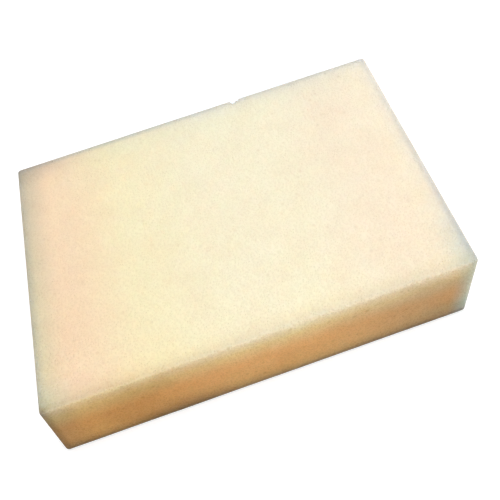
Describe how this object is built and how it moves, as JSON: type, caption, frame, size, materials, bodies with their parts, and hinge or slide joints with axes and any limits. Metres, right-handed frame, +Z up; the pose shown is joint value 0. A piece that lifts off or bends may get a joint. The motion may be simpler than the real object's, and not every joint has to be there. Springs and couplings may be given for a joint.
{
  "type": "cleaning sponge",
  "caption": "Plain rectangular block of soft open-cell foam for wiping and scrubbing, cut a little out of square, with softened edges and a small nick in one long top edge.",
  "frame": {"origin": "middle of the box that holds the block, at the height of the flat underside that it rests on", "axes": "+X along the block's length towards its right end, +Y across its width from the front to the back, +Z up through its thickness"},
  "size_m": [0.0998, 0.07, 0.02],
  "materials": {
    "foam": "soft matt open-cell foam, cream on the broad faces and tan on the cut sides"
  },
  "bodies": {
    "root": {"foam_block": "foam"}
  },
  "joints": []
}
